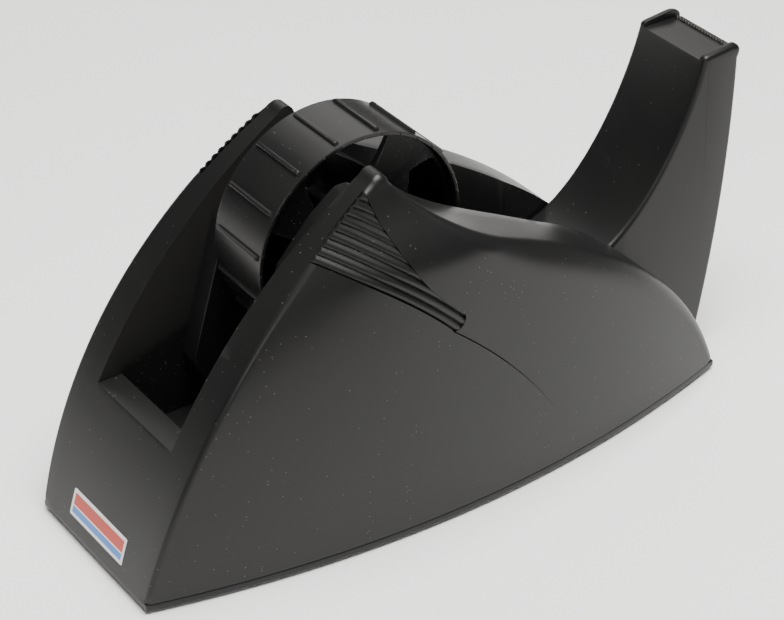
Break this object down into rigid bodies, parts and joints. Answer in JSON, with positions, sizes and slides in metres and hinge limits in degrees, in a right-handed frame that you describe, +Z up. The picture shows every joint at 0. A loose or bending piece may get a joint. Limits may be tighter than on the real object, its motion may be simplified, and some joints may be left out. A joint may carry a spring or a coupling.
{
  "type": "desk tape dispenser",
  "caption": "Weighted desk tape dispenser: boat-shaped housing with two ribbed cheeks, a lift-out core drum between them and a curved arm carrying a toothed cutter blade.",
  "frame": {"origin": "centre of the footprint, on the desk under the anti-slip pads", "axes": "+X from the label end towards the cutter arm, +Z up, Y = 0 is the mid plane and the drum turns about Y"},
  "size_m": [0.245, 0.0976, 0.1287],
  "materials": {
    "housing_black": "satin black moulded plastic with a fine grain",
    "arm_black": "satin black moulded plastic, smoother than the housing",
    "grip_black": "black ribbed plastic, slightly duller than the housing",
    "drum_black": "semi-gloss black moulded plastic",
    "blade_steel": "bright stamped steel strip",
    "axle_steel": "plain ground steel",
    "screw_steel": "zinc-plated steel",
    "ballast_iron": "rough grey casting",
    "pad_rubber": "soft black anti-slip rubber",
    "label_film": "printed self-adhesive label, red field with a white border and no lettering"
  },
  "bodies": {
    "stand": {"housing_shell": "housing_black", "grip_insert_left": "grip_black", "grip_insert_right": "grip_black", "label_sticker": "label_film", "cutter_arm": "arm_black", "cutter_blade": "blade_steel", "blade_clamp": "arm_black", "clamp_screw_1": "screw_steel", "clamp_screw_2": "screw_steel", "base_plate": "housing_black", "base_screw_1": "screw_steel", "base_screw_2": "screw_steel", "base_screw_3": "screw_steel", "base_screw_4": "screw_steel", "base_screw_5": "screw_steel", "base_screw_6": "screw_steel", "foot_pad_1": "pad_rubber", "foot_pad_2": "pad_rubber", "foot_pad_3": "pad_rubber", "foot_pad_4": "pad_rubber", "ballast_front": "ballast_iron", "ballast_rear": "ballast_iron", "axle_bracket_left": "housing_black", "axle_bracket_right": "housing_black"},
    "axle_set": {"axle": "axle_steel", "axle_clip_left": "axle_steel", "axle_clip_right": "axle_steel"},
    "drum": {"core_drum": "drum_black"}
  },
  "joints": [
    {"name": "drum_lift", "type": "slide", "parent": "stand", "child": "axle_set", "axis": [0, 0, 1], "range_m": [0, 0.08]},
    {"name": "drum_spin", "type": "hinge", "parent": "axle_set", "child": "drum", "pos_m": [-0.0283, 0, 0.0906], "axis": [0, 1, 0], "continuous": true}
  ]
}
